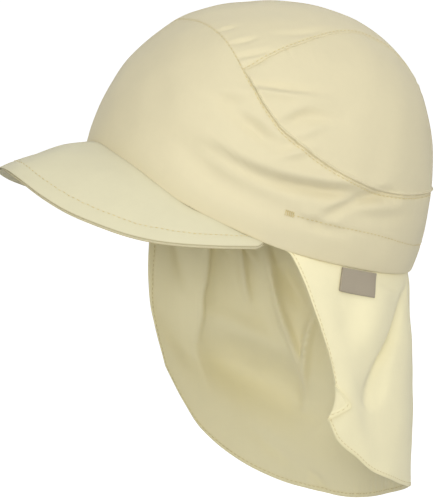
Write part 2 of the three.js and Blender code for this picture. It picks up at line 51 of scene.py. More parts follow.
# headings run from 0 at the forehead over 90 at the left ear to 180 at the nape
rimRows = [
    (-180, 0), (-155, 0.015), (-130, 0.065), (-106, 0.165), (-84, 0.285), (-66, 0.43), (-52, 0.58),
    (-36, 0.78), (-18, 0.97), (-4, 1.015), (18, 0.9), (34, 0.7), (52, 0.51), (66, 0.38), (84, 0.265),
    (106, 0.16), (130, 0.065), (155, 0.015), (180, 0),
]
sideSeamRows = [
    (0, 1), (0.04, 0.9), (0.14, 0.63), (0.22, 0.49), (0.31, 0.355), (0.42, 0.225), (0.55, 0.115),
    (0.72, 0.045), (0.87, 0.018), (1, 0),
]
topSeamRows = [  # along, then side, back and up as shares of the crown
    (0, 0.637, -0.4, 0.806), (0.1, 0.637, -0.25, 0.85), (0.24, 0.595, 0, 0.893),
    (0.38, 0.5, 0.26, 0.9), (0.52, 0.415, 0.52, 0.87), (0.65, 0.37, 0.76, 0.75),
    (0.8, 0.35, 0.93, 0.53), (0.92, 0.345, 0.97, 0.35), (1, 0.34, 0.98, 0.254),
]


def readTable(rows, at, column=1):
    # smooth curve through the rows of a table
    keys = np.array([row[0] for row in rows], float)
    values = np.array([row[column] for row in rows], float)
    slopes = np.empty_like(values)
    slopes[1:-1] = (values[2:] - values[:-2]) / (keys[2:] - keys[:-2])
    slopes[0] = (values[1] - values[0]) / (keys[1] - keys[0])
    slopes[-1] = (values[-1] - values[-2]) / (keys[-1] - keys[-2])
    at = np.asarray(at, float)
    right = np.clip(np.searchsorted(keys, at, side="right"), 1, len(keys) - 1)
    span = keys[right] - keys[right - 1]
    t = np.clip((at - keys[right - 1]) / span, 0, 1)
    weight = 2 * t**3 - 3 * t**2 + 1
    bend = (t**3 - 2 * t**2 + t) * slopes[right - 1] + (t**3 - t**2) * slopes[right]
    return weight * values[right - 1] + (1 - weight) * values[right] + bend * span


def smoothstep(x, low, high):
    t = np.clip((np.asarray(x, float) - low) / (high - low), 0, 1)
    return t * t * (3 - 2 * t)


def unit(vectors):
    return vectors / np.maximum(np.linalg.norm(vectors, axis=-1, keepdims=True), 1e-9)


def softNoise(points, size, seed):
    # smooth unevenness of about -1 to 1 with bumps of the given size
    rng = np.random.default_rng(seed)
    total = np.zeros(points.shape[:-1])
    for wave in range(14):
        direction = rng.normal(size=points.shape[-1])
        direction *= 2 * math.pi / (size * rng.uniform(0.7, 1.6) * np.linalg.norm(direction))
        total += np.sin(points @ direction + rng.uniform(0, 2 * math.pi))
    return total / 3.7


# the crown's shape

def domeReach(which, height):
    reach = crown[which]
    rise, fullness = crown[which + "Dome"]
    drop = (crown["widest"] - height) / (crown["widest"] - crown["rimNape"])
    climb = np.clip((height - crown["widest"]) / (crown["height"] - crown["widest"]), 0, 1)
    above = reach * (1 - climb**rise) ** (1 / fullness)
    return np.where(height <= crown["widest"], reach * (1 - crown["rimTuck"] * drop**2), above)


def crownBulk(points):
    x, y, z = points[..., 0], points[..., 1], points[..., 2]
    side = np.abs(x) / np.maximum(domeReach("side", z), 1e-6)
    length = np.abs(y) / np.maximum(np.where(y < 0, domeReach("front", z), domeReach("back", z)), 1e-6)
    return np.where(z >= crown["height"], 1, side ** crown["planPower"] + length ** crown["planPower"] - 1)


def planPoints(heading, side, front, back, height):
    # points on a rounded oval with these half sizes
    sine, cosine = np.sin(np.radians(heading)), -np.cos(np.radians(heading))
    across = np.abs(sine) / side
    length = np.abs(cosine) / np.where(cosine < 0, front, back)
    reach = (across ** crown["planPower"] + length ** crown["planPower"]) ** (-1 / crown["planPower"])
    return np.stack([reach * sine, reach * cosine, height], axis=-1)


def crownAt(heading, height):
    heading, height = np.broadcast_arrays(np.asarray(heading, float), np.asarray(height, float))
    return planPoints(heading, *(domeReach(which, height) for which in ("side", "front", "back")), height)


def farthestInside(pointsAlong, near, far):
    # halves the range until it ends at the crown's surface
    for halving in range(36):
        middle = (near + far) / 2
        within = crownBulk(pointsAlong(middle)) < 0
        near, far = np.where(within, middle, near), np.where(within, far, middle)
    return pointsAlong(near)


def onCrown(guides):
    core = np.array([0, 0, crown["widest"]])
    rays = unit(guides - core)
    none = np.zeros(guides.shape[:-1])
    return farthestInside(lambda reach: core + rays * reach[..., None], none, none + 2 * crown["front"])


def crownOut(points):
    slopes = []
    for axis in range(3):
        step = np.zeros(3)
        step[axis] = 0.05
        slopes.append(crownBulk(points + step) - crownBulk(points - step))
    return unit(np.stack(slopes, axis=-1))


def rimHeight(heading):
    turned = (np.asarray(heading, float) + 540) % 360 - 180
    return crown["rimNape"] + (crown["rimForehead"] - crown["rimNape"]) * readTable(rimRows, turned)


def headingOf(points):
    return np.degrees(np.arctan2(points[..., 0], -points[..., 1]))


def bump(distance, at, width):
    return np.exp(-(((distance - at) / width) ** 2))


def foldHeight(points, path, reach, lip=0.0):
    # share of a fold's depth: full half way along its path, with a lip where the last coordinate is greater
    nearest = np.full(points.shape[:-1], 1e9)
    height = np.zeros(points.shape[:-1])
    for index in range(len(path) - 1):
        start, run = path[index], path[index + 1] - path[index]
        share = np.clip(((points - start) @ run) / (run @ run), 0, 1)
        offset = points - (start + share[..., None] * run)
        distance = np.linalg.norm(offset, axis=-1)
        swell = np.sin(math.pi * (index + share) / (len(path) - 1))
        beside = np.sign(offset[..., -1]) * distance
        here = (0.3 + 0.7 * swell) * bump(distance, 0, reach) - lip * swell * bump(beside, 1.5 * reach, reach)
        height = np.where(distance < nearest, here, height)
        nearest = np.minimum(distance, nearest)
    return height


def smoothPath(spots, steps):
    # finer path through the spots
    places = np.linspace(0, len(spots) - 1, steps)
    return [readTable([(i, spot[j]) for i, spot in enumerate(spots)], places) for j in range(2)]


# drag folds of the cloth: spots of heading and height, then depth, reach and lip above
crownFolds = [
    ([(44, 65.5), (57, 56), (70, 49.4), (86, 44.3), (99, 41.5), (120, 36.5)], -4.2, 3.6, 0.6),
    ([(30, 71), (45.7, 53.5), (57.4, 44.7), (71, 34.5)], -3.3, 6.6, 0.3),
    ([(37, 70), (44, 66.5), (52, 60.5), (61, 54)], -1.4, 2.5, 0.5),
    ([(39, 91.2), (48.4, 88.6), (58, 86.4)], -2.0, 3.2, 0.5),
    ([(54.8, 93.6), (71.5, 90.8), (94, 86.8)], 1.9, 2.3, 0.7),
    ([(46, 86.5), (53, 81), (59, 75.6), (63.4, 71), (70, 67)], -3.0, 3.8, 0.4),
    ([(70, 76.5), (76, 79.3), (83.2, 80.6), (98, 76.7)], -2.2, 3.0, 0.5),
    ([(74, 70.2), (82, 73.6), (90, 75)], 1.2, 2.5, 0.3),
    ([(64, 61.8), (73, 63.4), (82, 65.4)], 1.6, 2.5, 0.3),
    ([(84, 30.5), (98.7, 36.2), (118, 39.6)], -2.2, 3.0, 0.5),
    ([(75, 32), (84.6, 27), (96, 22.5)], -1.7, 2.7, 0.5),
    ([(99, 31.5), (114, 27.6), (130, 26)], -1.2, 3.4, 0.4),
    ([(31, 117.6), (42, 119.8)], -0.7, 1.7, 0.4),
    ([(42, 112.5), (59, 115.4)], -0.9, 1.7, 0.4),
    ([(48, 107.8), (69, 110)], -0.9, 1.9, 0.4),
    ([(52, 104), (66, 106.8)], -0.7, 1.7, 0.4),
    ([(72, 116), (121, 116.2)], -0.7, 2.3, 0.3),
    ([(-40, 67), (-58, 55), (-84, 45), (-112, 38)], -2.9, 4.8, 0.5),
    ([(-47, 85), (-59, 76.5), (-74, 69)], -2.2, 4.4, 0.4),
    ([(-86, 31), (-99, 36), (-118, 39)], -1.7, 3.4, 0.4),
]
foldPaths = [crownAt(*smoothPath(row[0], 8 * len(row[0]))) for row in crownFolds]


def crownFoldDepth(points):
    rise = points[..., 2] - rimHeight(headingOf(points))
    depth = np.zeros(points.shape[:-1])
    for path, (spots, deep, reach, lip) in zip(foldPaths, crownFolds):
        depth += deep * foldHeight(points, path, reach, lip)
    return depth * smoothstep(rise, 4, 16)


# grids of cloth points: rows by columns

def arcLength(grid, axis):
    # distance along the grid from its first row or column
    steps = np.linalg.norm(np.diff(grid, axis=axis), axis=-1)
    start = np.zeros_like(np.take(steps, [0], axis=axis))
    return np.concatenate([start, np.cumsum(steps, axis=axis)], axis=axis)


def gridNormals(grid, closedRing=False):
    if closedRing:
        across = np.roll(grid, -1, axis=1) - np.roll(grid, 1, axis=1)
    else:
        across = np.gradient(grid, axis=1)
    return unit(np.cross(across, np.gradient(grid, axis=0)))


def spread(count, ends):
    # shares from 0 to 1, closer together at both ends
    shares = np.linspace(0, 1, count)
    return shares - ends * np.sin(2 * math.pi * shares) / (2 * math.pi)


def wobble(along, size, seed):
    return softNoise(np.asarray(along, float)[..., None], size, seed)


def pointsAt(grid, distances, at):
    # one point in each column, at a distance along it
    at = np.broadcast_to(at, grid.shape[1:2])
    line = np.empty((grid.shape[1], 3))
    for column in range(grid.shape[1]):
        for axis in range(3):
            line[column, axis] = np.interp(at[column], distances[:, column], grid[:, column, axis])
    return line


def clothPart(outer, inner, uv, seam, closedRing=False):
    # closed shell between two grids: corners, faces, and the uv and painted seam shade value of each corner
    rows, columns = outer.shape[:2]
    wide = columns + 1 if closedRing else columns
    count = rows * columns
    row, column = np.meshgrid(np.arange(rows - 1), np.arange(wide - 1), indexing="ij")
    corners = np.stack([row * wide + column, row * wide + column + 1,
                        (row + 1) * wide + column + 1, (row + 1) * wide + column], axis=-1).reshape(-1, 4)

    def vertexOf(corner):
        return (corner // wide) * columns + (corner % wide) % columns

    faces = [vertexOf(corners), vertexOf(corners[:, ::-1]) + count]
    places = [corners, corners[:, ::-1]]

    def rimStrip(a, b):
        faces.append(np.stack([vertexOf(b), vertexOf(a), vertexOf(a) + count, vertexOf(b) + count], axis=-1))
        places.append(np.stack([b, a, a, b], axis=-1))

    line = np.arange(wide - 1)
    last = (rows - 1) * wide
    rimStrip(line, line + 1)
    rimStrip(last + line + 1, last + line)
    if not closedRing:
        line = np.arange(rows - 1) * wide
        rimStrip(line + wide, line)
        rimStrip(line + wide - 1, line + 2 * wide - 1)
    points = np.concatenate([outer.reshape(-1, 3), inner.reshape(-1, 3)])
    faces, places = np.concatenate(faces), np.concatenate(places)
    a, b, c, d = (points[faces[:, i]] for i in range(4))
    volume = np.einsum("ij,ij->", a, np.cross(b, c)) + np.einsum("ij,ij->", a, np.cross(c, d))
    if volume < 0:
        faces, places = faces[:, ::-1], places[:, ::-1]
    seam = np.concatenate([seam.reshape(-1), seam.reshape(-1)])
    return {"points": points, "faces": faces, "uv": uv.reshape(-1, 2)[places], "seam": seam}


def addObject(name, data):
    item = bpy.data.objects.new(name, data)
    bpy.context.collection.objects.link(item)
    return item


def makePiece(name, parts, material, node):
    piecePoints = np.concatenate([part["points"] for part in parts]) * mm
    starts = np.cumsum([0] + [len(part["points"]) for part in parts[:-1]])
    faces = np.concatenate([part["faces"] + start for part, start in zip(parts, starts)])
    mesh = bpy.data.meshes.new(name)
    mesh.from_pydata(piecePoints.tolist(), [], faces.tolist())
    uvLayer = mesh.uv_layers.new(name="cloth")
    uvs = np.concatenate([part["uv"] for part in parts]) * mm
    uvLayer.data.foreach_set("uv", uvs.reshape(-1).astype(np.float32))
    # per-corner strength of the painted seam shade, read by the cloth material
    seamLayer = mesh.attributes.new("seam", "FLOAT", "POINT")
    seamValues = np.concatenate([part["seam"] for part in parts])
    seamLayer.data.foreach_set("value", seamValues.astype(np.float32))
    mesh.polygons.foreach_set("use_smooth", [True] * len(mesh.polygons))
    mesh.validate()
    mesh.update()
    mesh.set_sharp_from_angle(angle=math.radians(62))
    piece = addObject(name, mesh)
    mesh.materials.append(material)
    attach(piece, "root")
    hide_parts(node)
    print("made", name, len(mesh.polygons), "faces")
    return piece


# materials

def addSocket(group, name, direction, kind, value=None):
    socket = group.interface.new_socket(name=name, in_out=direction, socket_type=kind)
    if value is not None:
        socket.default_value = value


def mathNode(tree, operation, first, second=None):
    node = tree.nodes.new("ShaderNodeMath")
    node.operation = operation
    for index, value in enumerate((first, second)):
        if value is None:
            continue
        if isinstance(value, (int, float)):
            node.inputs[index].default_value = value
        else:
            tree.links.new(value, node.inputs[index])
    return node.outputs[0]


def buildWeaveGroup():
    # plain weave on the cloth's own uv map, with uneven yarns
    group = bpy.data.node_groups.new("cottonWeave", "ShaderNodeTree")
    addSocket(group, "Threads per metre", "INPUT", "NodeSocketFloat", 3200.0)
    addSocket(group, "Yarn unevenness", "INPUT", "NodeSocketFloat", 0.5)
    addSocket(group, "Height", "OUTPUT", "NodeSocketFloat")
    addSocket(group, "Tone", "OUTPUT", "NodeSocketFloat")
    start = group.nodes.new("NodeGroupInput")
    end = group.nodes.new("NodeGroupOutput")
    uvMap = group.nodes.new("ShaderNodeUVMap")
    uvMap.uv_map = "cloth"
    split = group.nodes.new("ShaderNodeSeparateXYZ")
    group.links.new(uvMap.outputs["UV"], split.inputs[0])
    threads = start.outputs["Threads per metre"]
    waves = []
    for axis in ("X", "Y"):
        turns = mathNode(group, "MULTIPLY", split.outputs[axis], threads)
        waves.append(mathNode(group, "SINE", mathNode(group, "MULTIPLY", turns, math.pi)))
    crossing = mathNode(group, "MULTIPLY", waves[0], waves[1])
    yarns = []
    for stretch in ((1.0, 0.02), (0.02, 1.0)):
        place = group.nodes.new("ShaderNodeMapping")
        place.inputs["Scale"].default_value = (stretch[0], stretch[1], 1)
        group.links.new(uvMap.outputs["UV"], place.inputs["Vector"])
        noise = group.nodes.new("ShaderNodeTexNoise")
        noise.inputs["Scale"].default_value = 1400.0
        noise.inputs["Detail"].default_value = 1.5
        group.links.new(place.outputs[0], noise.inputs["Vector"])
        yarns.append(noise.outputs[0])
    yarn = mathNode(group, "ADD", yarns[0], yarns[1])
    centred = mathNode(group, "SUBTRACT", yarn, 1.0)
    uneven = mathNode(group, "MULTIPLY", centred, start.outputs["Yarn unevenness"])
    for result, share in (("Height", 0.5), ("Tone", 0.15)):
        shown = mathNode(group, "ADD", mathNode(group, "MULTIPLY", crossing, share), uneven)
        group.links.new(shown, end.inputs[result])
    return group


def buildMottleGroup():
    # soft blotches in the dye and a little wear, on object coordinates
    group = bpy.data.node_groups.new("softMottle", "ShaderNodeTree")
    addSocket(group, "Size", "INPUT", "NodeSocketFloat", 40.0)
    addSocket(group, "Tone", "OUTPUT", "NodeSocketFloat")
    start = group.nodes.new("NodeGroupInput")
    end = group.nodes.new("NodeGroupOutput")
    place = group.nodes.new("ShaderNodeTexCoord")
    tones = []
    for factor, weight in ((1.0, 0.6), (6.0, 0.4)):
        noise = group.nodes.new("ShaderNodeTexNoise")
        noise.inputs["Detail"].default_value = 3.0
        group.links.new(mathNode(group, "MULTIPLY", start.outputs["Size"], factor), noise.inputs["Scale"])
        group.links.new(place.outputs["Object"], noise.inputs["Vector"])
        tones.append(mathNode(group, "MULTIPLY", noise.outputs[0], weight))
    group.links.new(mathNode(group, "ADD", tones[0], tones[1]), end.inputs["Tone"])
    return group


weaveGroup = buildWeaveGroup()
mottleGroup = buildMottleGroup()

# each cloth's 'deep' colour is painted shade, mixed in along seams, hems and edges by the strength given
# beside it
cloths = {
    "crownCotton": {
        "colour": (0.735, 0.66, 0.434), "deep": (0.62, 0.52, 0.27), "threads": 3000.0,
        "bump": 0.00012, "strength": 0.5, "roughness": 0.86, "sheen": 0.2, "mottle": 38.0, "seamTone": 0.3,
    },
    # strong painted shade along the peak's edge and root
    "peakCotton": {
        "colour": (0.68, 0.638, 0.437), "deep": (0.42, 0.36, 0.2), "threads": 3000.0,
        "bump": 0.00012, "strength": 0.5, "roughness": 0.86, "sheen": 0.2, "mottle": 38.0, "seamTone": 0.85,
    },
    # the flap's own pale yellow, made lighter and yellower than the crown's cotton to stand in for light
    # shining through the thin cloth: painted light
    "flapCotton": {
        "colour": (0.89, 0.82, 0.53), "deep": (0.76, 0.65, 0.32), "threads": 3600.0,
        "bump": 0.0001, "strength": 0.45, "roughness": 0.78, "sheen": 0.25, "mottle": 30.0, "seamTone": 0.3,
    },
    "wovenTape": {
        "colour": (0.40, 0.345, 0.255), "deep": (0.25, 0.21, 0.15), "threads": 4200.0,
        "bump": 0.00016, "strength": 0.7, "roughness": 0.7, "sheen": 0.1, "mottle": 60.0, "seamTone": 0.3,
    },
    "sewingThread": {
        "colour": (0.66, 0.55, 0.27), "deep": (0.62, 0.52, 0.27), "threads": 3000.0,
        "bump": 0.00005, "strength": 0.3, "roughness": 0.6, "sheen": 0.1, "mottle": 90.0, "seamTone": 0.0,
    },
}


def mixColour(tree, amount, first, second):
    node = tree.nodes.new("ShaderNodeMix")
    node.data_type = "RGBA"
    node.clamp_factor = True
    factor, colourA, colourB = node.inputs[0], node.inputs[6], node.inputs[7]
    tree.links.new(amount, factor)
    for socket, value in ((colourA, first), (colourB, second)):
        if isinstance(value, tuple):
            socket.default_value = (*value, 1)
        else:
            tree.links.new(value, socket)
    return node.outputs[2]


def makeCloth(name):
    values = cloths[name]
    material = bpy.data.materials.new(name)
    material.use_nodes = True
    tree = material.node_tree
    shader = tree.nodes["Principled BSDF"]
    weave = tree.nodes.new("ShaderNodeGroup")
    weave.node_tree = weaveGroup
    weave.inputs["Threads per metre"].default_value = values["threads"]
    mottle = tree.nodes.new("ShaderNodeGroup")
    mottle.node_tree = mottleGroup
    mottle.inputs["Size"].default_value = values["mottle"]
    seam = tree.nodes.new("ShaderNodeAttribute")
    seam.attribute_name = "seam"

    # blotches, then single yarns, then painted shade: the darker 'deep' colour laid along seams, hems, edges
    # and stitch grooves, where shade and bounced light would gather
    light = tuple(min(c * 1.035, 1) for c in values["colour"])
    dark = tuple(c * 0.955 for c in values["colour"])
    colour = mixColour(tree, mottle.outputs["Tone"], dark, light)
    yarn = mathNode(tree, "ADD", mathNode(tree, "MULTIPLY", weave.outputs["Tone"], 0.16), 0.06)
    colour = mixColour(tree, yarn, colour, tuple(c * 0.8 for c in values["colour"]))
    seamShadeMix = mathNode(tree, "MULTIPLY", seam.outputs["Fac"], values["seamTone"])
    colour = mixColour(tree, seamShadeMix, colour, values["deep"])
    tree.links.new(colour, shader.inputs["Base Color"])
    rough = mathNode(tree, "ADD", mathNode(tree, "MULTIPLY", mottle.outputs["Tone"], 0.12),
                     values["roughness"] - 0.06)
    tree.links.new(rough, shader.inputs["Roughness"])
    shader.inputs["Sheen Weight"].default_value = values["sheen"]
    shader.inputs["Sheen Roughness"].default_value = 0.5
    shader.inputs["Specular IOR Level"].default_value = 0.3
    relief = tree.nodes.new("ShaderNodeBump")
    relief.inputs["Strength"].default_value = values["strength"]
    relief.inputs["Distance"].default_value = values["bump"]
    tree.links.new(weave.outputs["Height"], relief.inputs["Height"])
    tree.links.new(relief.outputs["Normal"], shader.inputs["Normal"])
    return material


crownCotton = makeCloth("crownCotton")
peakCotton = makeCloth("peakCotton")
flapCotton = makeCloth("flapCotton")
wovenTape = makeCloth("wovenTape")
sewingThread = makeCloth("sewingThread")
print("materials ready")


# stitches

def buildStitchTree():
    # sets one short thread on each step along the lines that it is given
    tree = bpy.data.node_groups.new("stitchRow", "GeometryNodeTree")
    addSocket(tree, "Geometry", "INPUT", "NodeSocketGeometry")
    addSocket(tree, "Pitch", "INPUT", "NodeSocketFloat", 0.0028)
    addSocket(tree, "Length", "INPUT", "NodeSocketFloat", 0.0021)
    addSocket(tree, "Width", "INPUT", "NodeSocketFloat", 0.0004)
    addSocket(tree, "Seed", "INPUT", "NodeSocketInt", 4)
    addSocket(tree, "Thread", "INPUT", "NodeSocketMaterial")
    addSocket(tree, "Geometry", "OUTPUT", "NodeSocketGeometry")
    start = tree.nodes.new("NodeGroupInput")
    end = tree.nodes.new("NodeGroupOutput")
    link = tree.links.new
    line = tree.nodes.new("GeometryNodeMeshToCurve")
    link(start.outputs["Geometry"], line.inputs["Mesh"])
    steps = tree.nodes.new("GeometryNodeCurveToPoints")
    steps.mode = "LENGTH"
    link(line.outputs[0], steps.inputs["Curve"])
    link(start.outputs["Pitch"], steps.inputs["Length"])
    turn = tree.nodes.new("FunctionNodeAlignRotationToVector")
    turn.axis = "X"
    link(steps.outputs["Tangent"], turn.inputs["Vector"])
    ball = tree.nodes.new("GeometryNodeMeshUVSphere")
    ball.inputs["Segments"].default_value = 6
    ball.inputs["Rings"].default_value = 5
    ball.inputs["Radius"].default_value = 0.5
    chance = tree.nodes.new("FunctionNodeRandomValue")
    chance.data_type = "FLOAT"
    chance.inputs[2].default_value = 0.88
    chance.inputs[3].default_value = 1.1
    link(start.outputs["Seed"], chance.inputs["Seed"])
    long = tree.nodes.new("ShaderNodeMath")
    long.operation = "MULTIPLY"
    link(start.outputs["Length"], long.inputs[0])
    link(chance.outputs[1], long.inputs[1])
    size = tree.nodes.new("ShaderNodeCombineXYZ")
    link(long.outputs[0], size.inputs["X"])
    link(start.outputs["Width"], size.inputs["Y"])
    link(start.outputs["Width"], size.inputs["Z"])
    place = tree.nodes.new("GeometryNodeInstanceOnPoints")
    link(steps.outputs["Points"], place.inputs["Points"])
    link(ball.outputs["Mesh"], place.inputs["Instance"])
    link(turn.outputs[0], place.inputs["Rotation"])
    link(size.outputs[0], place.inputs["Scale"])
    real = tree.nodes.new("GeometryNodeRealizeInstances")
    link(place.outputs[0], real.inputs[0])
    smooth = tree.nodes.new("GeometryNodeSetShadeSmooth")
    link(real.outputs[0], smooth.inputs[0])
    finish = tree.nodes.new("GeometryNodeSetMaterial")
    link(smooth.outputs[0], finish.inputs["Geometry"])
    link(start.outputs["Thread"], finish.inputs["Material"])
    link(finish.outputs[0], end.inputs[0])
    return tree


stitchTree = buildStitchTree()


def sewStitches(name, lines, values, node):
    points, edges = [], []
    for line in lines:
        start = len(points)
        points.extend((line * mm).tolist())
        edges.extend((start + i, start + i + 1) for i in range(len(line) - 1))
    mesh = bpy.data.meshes.new(name + "Lines")
    mesh.from_pydata(points, edges, [])
    guide = addObject(name + "Lines", mesh)
    modifier = guide.modifiers.new("stitchRow", "NODES")
    modifier.node_group = stitchTree
    wanted = {"Pitch": values["pitch"] * mm, "Length": values["length"] * mm,
              "Width": values["width"] * mm, "Seed": values["seed"], "Thread": sewingThread}
    for item in stitchTree.interface.items_tree:
        if item.in_out == "INPUT" and item.name in wanted:
            modifier[item.identifier] = wanted[item.name]
    graph = bpy.context.evaluated_depsgraph_get()
    sewn = bpy.data.meshes.new_from_object(guide.evaluated_get(graph))
    bpy.data.objects.remove(guide)
    piece = addObject(name, sewn)
    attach(piece, "root")
    print("sewn", name, len(sewn.polygons), "faces")
    return piece


seams = {
    "stitchAt": 1.5, "lift": 0.06, "pitch": 2.6, "length": 1.8, "width": 0.46, "seed": 3,
    "rollDepth": 0.35, "rollWidth": 0.35, "grooveDepth": 0.3, "grooveWidth": 0.55,
    "weltHeight": 0.85, "weltAt": 0.9, "weltWidth": 0.7,
    "pucker": 0.18, "puckerSize": 5.0, "puckerReach": 3.2,
}


def seamRelief(distance, along, seed, welt=False, stitched=True):
    # height of the cloth beside a seam
    relief = -seams["rollDepth"] * bump(distance, 0, seams["rollWidth"])
    if welt:
        relief += seams["weltHeight"] * bump(distance, seams["weltAt"], seams["weltWidth"])
    if stitched:
        relief -= seams["grooveDepth"] * bump(distance, seams["stitchAt"], seams["grooveWidth"])
    ripple = wobble(along, seams["puckerSize"], seed)
    return relief + seams["pucker"] * ripple * np.exp(-distance / seams["puckerReach"])


# the crown's four panels

def yokePoints(headings):
    side = crown["yokeReach"] * np.tan(np.radians(headings))
    none = np.zeros(side.shape)
    return farthestInside(lambda height: np.stack([side, none - crown["yokeReach"], height], axis=-1),
                          none + crown["widest"], none + crown["height"])


def sideSeamPoints(shares, side):
    heading = crown["yokeHeading"] + (crown["napeHeading"] - crown["yokeHeading"]) * shares
    corner = yokePoints(np.array([crown["yokeHeading"]]))[0, 2]
    height = crown["napeHeight"] + (corner - crown["napeHeight"]) * readTable(sideSeamRows, shares)
    return crownAt(side * heading, height)


def topSeamPoints(shares, side):
    guides = np.stack([side * readTable(topSeamRows, shares, 1) * crown["side"],
                       readTable(topSeamRows, shares, 2) * crown["back"],
                       readTable(topSeamRows, shares, 3) * crown["height"]], axis=-1)
    points = onCrown(guides)
    if shares[0] == 0:
        points[0] = yokePoints(np.array([side * crown["yokeHeading"]]))[0]
    points[-1] = crownAt(side * crown["napeHeading"], crown["napeHeight"])
    return points


def crownPanel(name, base, relief, seam, uv, node, closedRing=False):
    out = crownOut(base)
    rise = base[..., 2] - rimHeight(headingOf(base))
    uneven = crown["unevenness"] * softNoise(base, 26.0, 11) * smoothstep(rise, 0, 8)
    formed = base + out * (crownFoldDepth(base) + uneven)[..., None]
    outer = formed + out * relief[..., None]
    inner = formed - out * crown["wall"]
    makePiece(name, [clothPart(outer, inner, uv, seam, closedRing)], crownCotton, node)
    return outer


casingRows = [  # heading, height of the casing line above the rim
    (70, 19.0), (104, 19.0), (119, 18.0), (143, 14.5), (180, 12.5),
]


def makeFrontPanel():
    def stretch(first, last, count):
        return np.linspace(first, last, count, endpoint=False)

    yoke = yokePoints(stretch(-crown["yokeHeading"], crown["yokeHeading"], crown["yokeSteps"]))
    left = sideSeamPoints(stretch(0, 1, crown["sideSteps"]), 1)
    napeHeadings = stretch(crown["napeHeading"], 360 - crown["napeHeading"], crown["napeSteps"])
    nape = crownAt(napeHeadings, crown["napeHeight"])
    right = sideSeamPoints(stretch(1, 0, crown["sideSteps"]), -1)
    upper = np.concatenate([yoke, left, nape, right])
    headings = headingOf(upper)
    lower = crownAt(headings, rimHeight(headings))
    shares = spread(crown["frontRows"], 0.86)[:, None, None]
    base = onCrown(lower * (1 - shares) + upper * shares)
    fromRim = arcLength(base, 0)
    toSeam = fromRim[-1] - fromRim
    closed = np.concatenate([base, base[:, :1]], axis=1)
    along = arcLength(closed, 1)
    wide = along[:1] + 0 * along
    seamAlong = np.broadcast_to(along[-1, :-1], toSeam.shape)
    relief = seamRelief(toSeam, seamAlong, 21)
    relief -= 0.1 * bump(fromRim, 0, 0.4)
    # casing round the ears and the nape
    turned = np.abs(headings)
    rise = readTable(casingRows, turned)
    inCasing = smoothstep(turned, crown["casingHeading"] - 1, crown["casingHeading"] + 4)
    relief += inCasing * (0.22 * bump(fromRim, rise + 1.2, 0.6) - 0.28 * bump(fromRim, rise, 0.5))
    relief += inCasing * crown["puff"] * np.sin(math.pi * np.clip(fromRim / rise, 0, 1)) ** 0.7
    gather = wobble(np.broadcast_to(along[0, :-1], toSeam.shape), 8.0, 5)
    relief += inCasing * 0.1 * gather * np.exp(-np.abs(fromRim - rise) / 4.0)
    # painted shade along the top seam, the rim, the stitch groove and the casing line
    seam = np.exp(-toSeam / 0.8) + np.exp(-fromRim / 0.8) + 0.5 * bump(toSeam, seams["stitchAt"], 0.5)
    seam += 0.5 * inCasing * bump(fromRim, rise, 0.5)
    uv = np.stack([wide, np.concatenate([fromRim, fromRim[:, :1]], axis=1)], axis=-1)
    outer = crownPanel("crownFront", base, relief, np.clip(seam, 0, 1), uv, "crown_front_panel", True)
    lifted = outer + crownOut(base) * seams["lift"]
    topLine = pointsAt(lifted, fromRim, fromRim[-1] - seams["stitchAt"])
    casingLine = pointsAt(lifted, fromRim, rise)
    behind = turned > crown["casingHeading"]
    return [np.concatenate([topLine, topLine[:1]]), casingLine[behind]]


def makeTopPanel():
    across, down = spread(crown["panelSteps"], 0.8), spread(crown["panelSteps"], 0.6)
    front = yokePoints(crown["yokeHeading"] * (2 * across - 1))
    napeWidth = 360 - 2 * crown["napeHeading"]
    back = crownAt(crown["napeHeading"] + napeWidth * (1 - across), crown["napeHeight"])
    right, left = topSeamPoints(down, -1), topSeamPoints(down, 1)
    a, d = across[None, :, None], down[:, None, None]
    sides = right[:, None] * (1 - a) + left[:, None] * a
    ends = front[None] * (1 - d) + back[None] * d
    corners = (front[0] * (1 - a) + front[-1] * a) * (1 - d) + (back[0] * (1 - a) + back[-1] * a) * d
    base = onCrown(sides + ends - corners)
    fromFront, fromRight = arcLength(base, 0), arcLength(base, 1)
    toBack, toLeft = fromFront[-1:] - fromFront, fromRight[:, -1:] - fromRight
    relief = seamRelief(fromFront, fromRight, 31, stitched=False)
    relief += seamRelief(toBack, fromRight, 32, stitched=False)
    relief += seamRelief(toLeft, fromFront, 33) + seamRelief(fromRight, fromFront, 34)
    # painted shade along all four edges of the panel
    edge = np.minimum(np.minimum(fromFront, toBack), np.minimum(fromRight, toLeft))
    seam = np.exp(-edge / 0.8)
    uv = np.stack([fromRight, fromFront], axis=-1)
    outer = crownPanel("crownTop", base, relief, seam, uv, "crown_top_panel")
    lifted = outer + crownOut(base) * seams["lift"]
    lines = []
    for grid, distance in ((lifted, fromRight), (lifted[:, ::-1], toLeft[:, ::-1])):
        turned = np.swapaxes(grid, 0, 1)
        lines.append(pointsAt(turned, distance.T, seams["stitchAt"])[3:-3])
    return lines


def makeSidePanel(name, node, side):
    # a little short of both ends, where the two seams meet
    shares = 0.002 + 0.996 * spread(crown["panelSteps"], 0.5)
    low, top = sideSeamPoints(shares, side), topSeamPoints(shares, side)
    rows = spread(crown["sideRows"], 0.85)[:, None, None]
    base = onCrown(low[None] * (1 - rows) + top[None] * rows)
    fromLow, along = arcLength(base, 0), arcLength(base, 1)
    toTop = fromLow[-1:] - fromLow
    thin = smoothstep(fromLow[-1:], 1.0, 9.0)
    relief = thin * seamRelief(fromLow, along, 41, welt=True, stitched=False)
    relief += thin * seamRelief(toTop, along, 42, stitched=False)
    # painted shade along the lower and upper seams
    seam = np.clip(np.exp(-np.minimum(fromLow, toTop) / 0.8), 0, 1)
    crownPanel(name, base, relief, seam, np.stack([along, fromLow], axis=-1), node)


crownLines = makeFrontPanel() + makeTopPanel()
makeSidePanel("crownLeft", "crown_left_panel", 1)
makeSidePanel("crownRight", "crown_right_panel", -1)
sewStitches("crownStitches", crownLines, seams, "crown_front_panel")


# the peak

